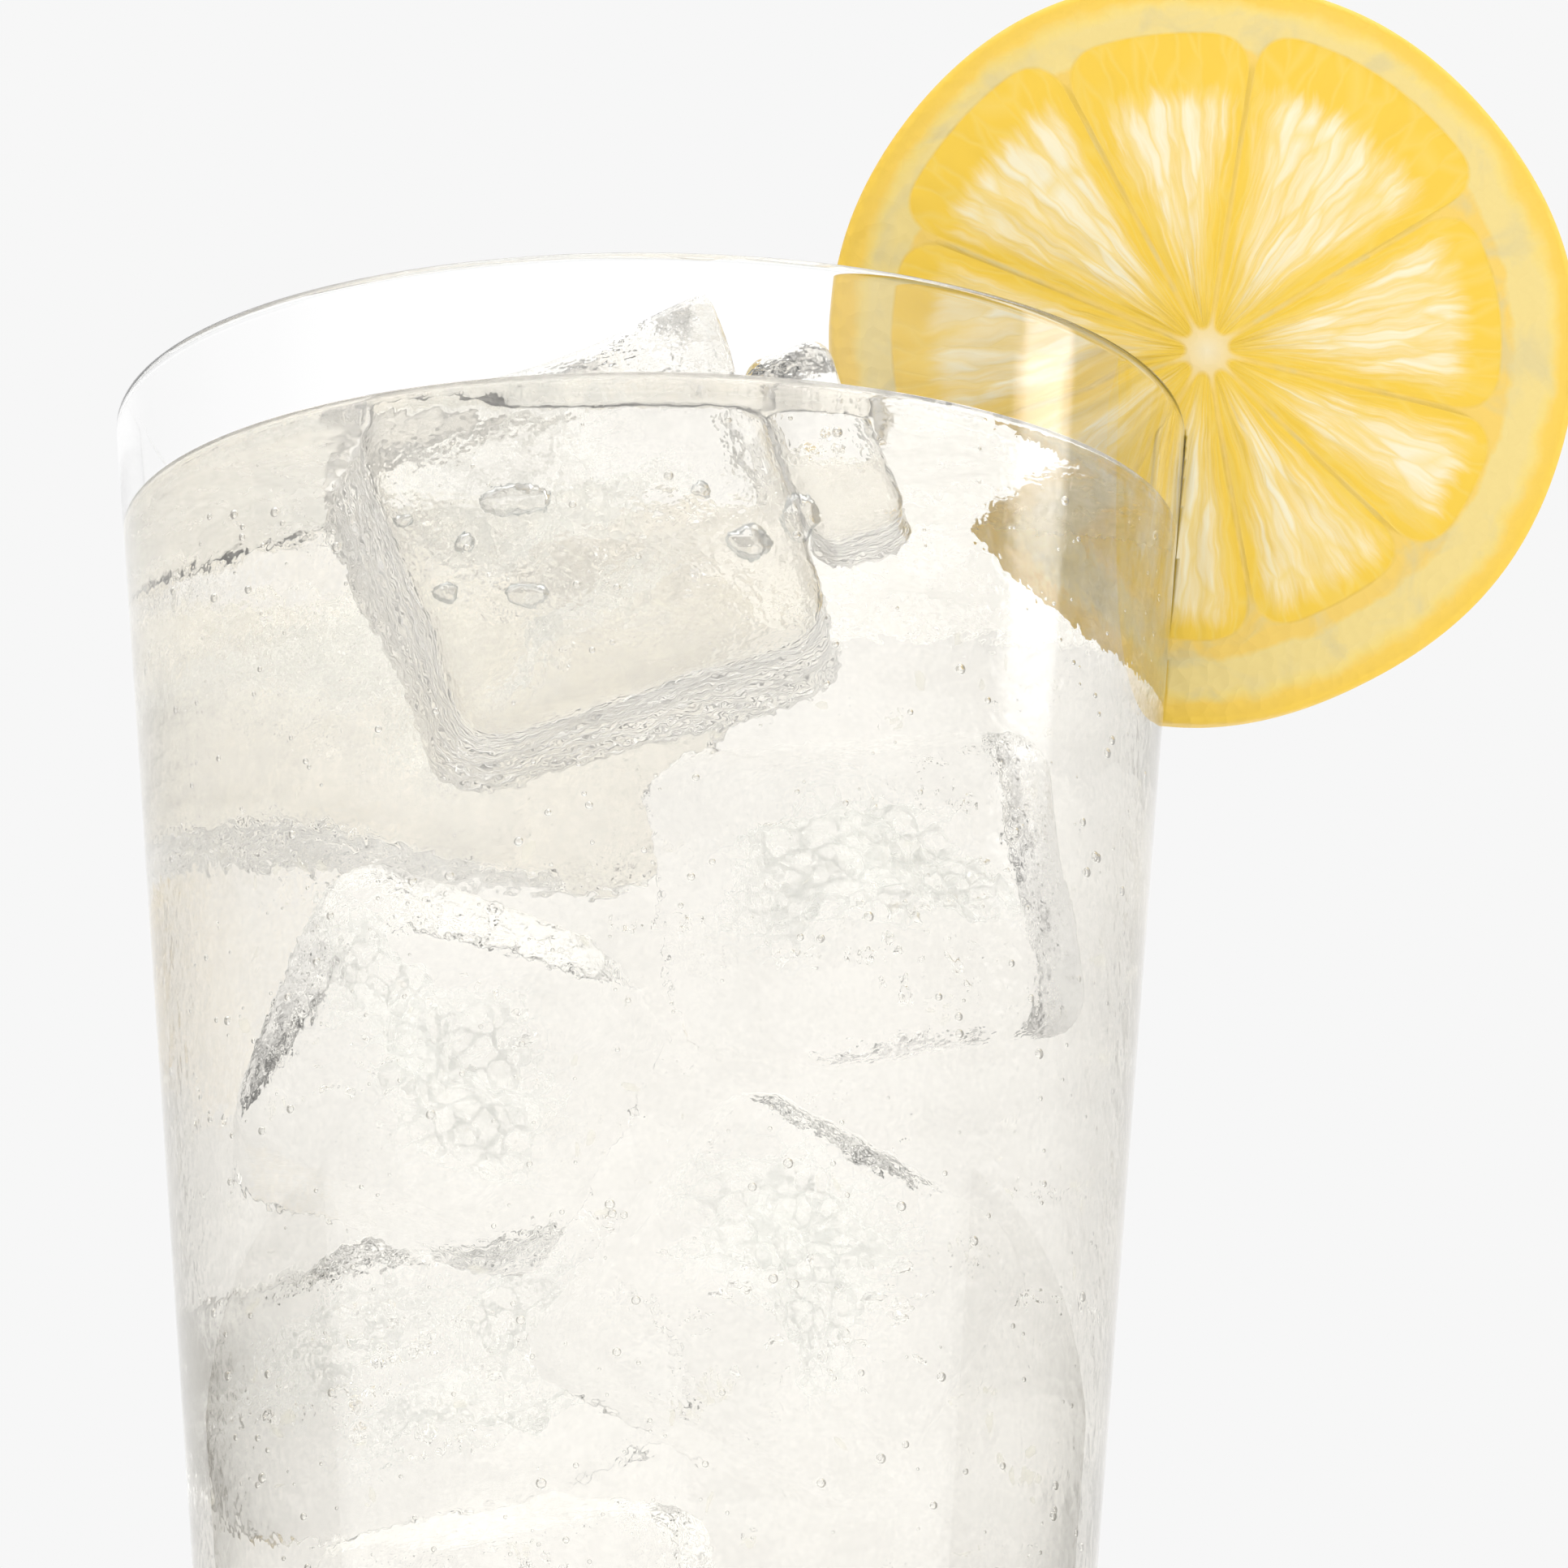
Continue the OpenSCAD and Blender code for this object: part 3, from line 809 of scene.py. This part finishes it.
def studio_air(context):
    """Bright paper behind, dimmer sides, a soft roof and a bright strip: what glass and ice bend."""
    world = bpy.data.worlds.new("studio")
    context.scene.world = world
    world.use_nodes = True
    t = world.node_tree
    t.nodes.clear()
    way = add(t, "ShaderNodeTexCoord")
    parts = add(t, "ShaderNodeSeparateXYZ", {"Vector": way.outputs["Generated"]})
    ahead = add(t, "ShaderNodeMath", {0: parts.outputs["Y"], 1: -1.0}, operation="MULTIPLY")
    round_ = add(t, "ShaderNodeMath", {0: parts.outputs["X"], 1: ahead.outputs[0]}, operation="ARCTAN2")
    share = add(t, "ShaderNodeMapRange", {"Value": round_.outputs[0], "From Min": -math.pi, "From Max": math.pi})
    # Light by degrees from the front, positive towards the lemon: near the horizon, then above and below it.
    level = (
        (-180, 1.0), (-150, 1.0), (-136, 0.84), (-112, 0.7), (-86, 0.75), (-60, 1.3),
        (40, 1.3), (80, 0.8), (117, 0.7), (136, 0.84), (150, 1.0), (180, 1.0),
    )
    apart = ((-180, 1.0), (-145, 1.0), (-125, 0.7), (-100, 0.3), (100, 0.3), (125, 0.7), (145, 1.0), (180, 1.0))
    around = []
    for stops in (level, apart):
        ramp = add(t, "ShaderNodeValToRGB", {"Fac": share.outputs[0]})
        for i, (deg, light) in enumerate(stops):
            pos = (deg + 180) / 360
            e = ramp.color_ramp.elements[i] if i < 2 else ramp.color_ramp.elements.new(pos)
            e.position, e.color = pos, (light, light, light, 1)
        around.append(ramp.outputs["Color"])
    rise = add(t, "ShaderNodeMapRange", {
        "Value": parts.outputs["Z"], "From Min": -0.25, "From Max": -0.1}, interpolation_type="SMOOTHSTEP")
    fall = add(t, "ShaderNodeMapRange", {
        "Value": parts.outputs["Z"], "From Min": 0.36, "From Max": 0.5, "To Min": 1.0, "To Max": 0.0},
        interpolation_type="SMOOTHSTEP")
    band = add(t, "ShaderNodeMath", {0: rise.outputs[0], 1: fall.outputs[0]}, operation="MULTIPLY")
    walls = add(t, "ShaderNodeMix", {"Factor": band.outputs[0], "A": around[1], "B": around[0]}, data_type="RGBA")
    roof = add(t, "ShaderNodeMapRange", {
        "Value": parts.outputs["Z"], "From Min": 0.74, "From Max": 0.86}, interpolation_type="SMOOTHSTEP")
    room = add(t, "ShaderNodeMix", {
        "Factor": roof.outputs[0], "A": walls.outputs["Result"], "B": (2.0, 2.0, 2.0, 1)}, data_type="RGBA")
    # A tall soft-edged strip at the lemon's side draws the white band down the glass.
    off = add(t, "ShaderNodeMath", {0: round_.outputs[0], 1: math.radians(91.5)}, operation="SUBTRACT")
    far = add(t, "ShaderNodeMath", {0: off.outputs[0]}, operation="ABSOLUTE")
    across = add(t, "ShaderNodeMapRange", {
        "Value": far.outputs[0], "From Min": math.radians(5.5), "From Max": math.radians(9),
        "To Min": 1.0, "To Max": 0.0}, interpolation_type="SMOOTHSTEP")
    up = add(t, "ShaderNodeMapRange", {
        "Value": parts.outputs["Z"], "From Min": math.sin(math.radians(5)), "From Max": math.sin(math.radians(13))},
        interpolation_type="SMOOTHSTEP")
    strip = add(t, "ShaderNodeMath", {0: across.outputs[0], 1: up.outputs[0]}, operation="MULTIPLY")
    lit = add(t, "ShaderNodeMix", {
        "Factor": strip.outputs[0], "A": room.outputs["Result"], "B": (5.0, 5.0, 5.0, 1)}, data_type="RGBA")
    seen = add(t, "ShaderNodeLightPath")
    paper = linear("F7F7F7")
    shown = add(t, "ShaderNodeMix", {
        "Factor": seen.outputs["Is Camera Ray"], "A": lit.outputs["Result"], "B": rgba(paper)}, data_type="RGBA")
    sky = add(t, "ShaderNodeBackground", {"Color": shown.outputs["Result"], "Strength": 1.0})
    add(t, "ShaderNodeOutputWorld", {"Surface": sky.outputs[0]})


def stage_piece(context, name, bm, finish):
    """Puts a finished bmesh, in metres, on the stage."""
    mesh = bpy.data.meshes.new(name)
    bm.to_mesh(mesh)
    bm.free()
    mesh.materials.append(finish)
    piece = bpy.data.objects.new(name, mesh)
    context.scene.collection.objects.link(piece)
    return piece


def soft_box(context, name, place, aim, width, height, light):
    """A soft box: light is its brightness, with paper white as 1."""
    lamp = bpy.data.lights.new(name, "AREA")
    lamp.shape, lamp.size, lamp.size_y = "RECTANGLE", width, height
    lamp.energy = light * math.pi * width * height
    piece = bpy.data.objects.new(name, lamp)
    piece.location = place
    piece.rotation_euler = (Vector(aim) - Vector(place)).to_track_quat("-Z", "Y").to_euler()
    piece.visible_camera = False
    context.scene.collection.objects.link(piece)
    return piece


class LEMONADE_OT_stage(bpy.types.Operator):
    """Sets the pale floor, the light, the flags and the low camera"""

    bl_idname = "lemonade.stage"
    bl_label = "Stage"

    def execute(self, context):
        scene = context.scene
        studio_air(context)
        bm = bmesh.new()
        bmesh.ops.create_circle(bm, cap_ends=True, segments=96, radius=3.0)
        mat, t = material("painted board, matt white")
        shader = add(t, "ShaderNodeBsdfPrincipled", {
            "Base Color": rgba(linear("F4F4F2")), "Roughness": 0.7, "Specular IOR Level": 0.2})
        add(t, "ShaderNodeOutputMaterial", {"Surface": shader.outputs[0]})
        floor = stage_piece(context, "floor", bm, mat)

        middle = (0.0, 0.0, 0.13)
        box = soft_box(context, "front_box", (-0.75, -1.0, 0.75), middle, 1.1, 0.9, 0.9)
        box.visible_glossy = box.visible_transmission = False

        # Low black flags beside the glass, out of sight, which its lip and edges draw as dark lines.
        black, t = material("flock cloth, black")
        shader = add(t, "ShaderNodeBsdfDiffuse", {"Color": rgba(linear("101010"))})
        add(t, "ShaderNodeOutputMaterial", {"Surface": shader.outputs[0]})
        for name, x in (("flag_left", -0.25), ("flag_right", 0.25)):
            bm = bmesh.new()
            bmesh.ops.create_grid(bm, x_segments=1, y_segments=1, size=0.5)
            bmesh.ops.scale(bm, vec=(0.095, 0.30, 1), verts=bm.verts)
            bmesh.ops.rotate(bm, matrix=Matrix.Rotation(math.radians(90), 3, "Y"), verts=bm.verts)
            bmesh.ops.translate(bm, vec=(x, 0.09, 0.05), verts=bm.verts)
            flag = stage_piece(context, name, bm, black)
            flag.visible_camera = flag.visible_diffuse = flag.visible_shadow = False

        cam = bpy.data.cameras.new("camera")
        cam.lens, cam.sensor_width = 122.45, 36.0
        cam.clip_start, cam.clip_end = 0.01, 50
        eye = bpy.data.objects.new("camera", cam)
        back, height = 0.4, 0.0162
        yaw, pitch, roll = math.radians(1.487), math.radians(14.763), math.radians(-0.077)
        ahead = Vector((math.sin(yaw) * math.cos(pitch), math.cos(yaw) * math.cos(pitch), math.sin(pitch)))
        right = Vector((math.cos(yaw), -math.sin(yaw), 0))
        up = right.cross(ahead)
        side = right * math.cos(roll) + up * math.sin(roll)
        over = up * math.cos(roll) - right * math.sin(roll)
        eye.matrix_world = Matrix((
            (side.x, over.x, -ahead.x, 0.0),
            (side.y, over.y, -ahead.y, -back),
            (side.z, over.z, -ahead.z, height),
            (0, 0, 0, 1)))
        scene.collection.objects.link(eye)
        scene.camera = eye

        scene.view_settings.view_transform = "Standard"
        scene.cycles.use_denoising = True
        scene.cycles.max_bounces = 16
        scene.cycles.transmission_bounces = 16
        scene.cycles.transparent_max_bounces = 12
        scene.cycles.caustics_reflective = False
        scene.cycles.diffuse_bounces = 1
        scene.cycles.glossy_bounces = 4
        return {"FINISHED"}


# ---------------------------------------------------------------- add-on


class LEMONADE_PT_panel(bpy.types.Panel):
    bl_idname = "LEMONADE_PT_panel"
    bl_label = "Lemonade"
    bl_space_type = "VIEW_3D"
    bl_region_type = "UI"
    bl_category = "Lemonade"

    def draw(self, context):
        for group in GROUPS:
            box = self.layout.box()
            props = sizes(context, group)
            for name in props.__annotations__:
                box.prop(props, name)
        for op in OPERATORS:
            self.layout.operator(op.bl_idname)


GROUPS = {"tumbler": TumblerSizes, "drink": DrinkSizes, "wheel": WheelSizes, "ice": IceSizes}
OPERATORS = (
    LEMONADE_OT_tumbler, LEMONADE_OT_drink, LEMONADE_OT_fizz, LEMONADE_OT_ice, LEMONADE_OT_wheel, LEMONADE_OT_stage,
)
CLASSES = tuple(GROUPS.values()) + OPERATORS + (LEMONADE_PT_panel,)


def register():
    for c in CLASSES:
        bpy.utils.register_class(c)
    for group, kind in GROUPS.items():
        setattr(bpy.types.Scene, "lemonade_" + group, PointerProperty(type=kind))


def unregister():
    for group in GROUPS:
        delattr(bpy.types.Scene, "lemonade_" + group)
    for c in reversed(CLASSES):
        bpy.utils.unregister_class(c)


def main():
    register()
    bpy.ops.lemonade.tumbler()
    bpy.ops.lemonade.drink()
    bpy.ops.lemonade.fizz()
    bpy.ops.lemonade.ice()
    bpy.ops.lemonade.wheel()
    bpy.ops.lemonade.stage()


if __name__ == "__main__":
    main()
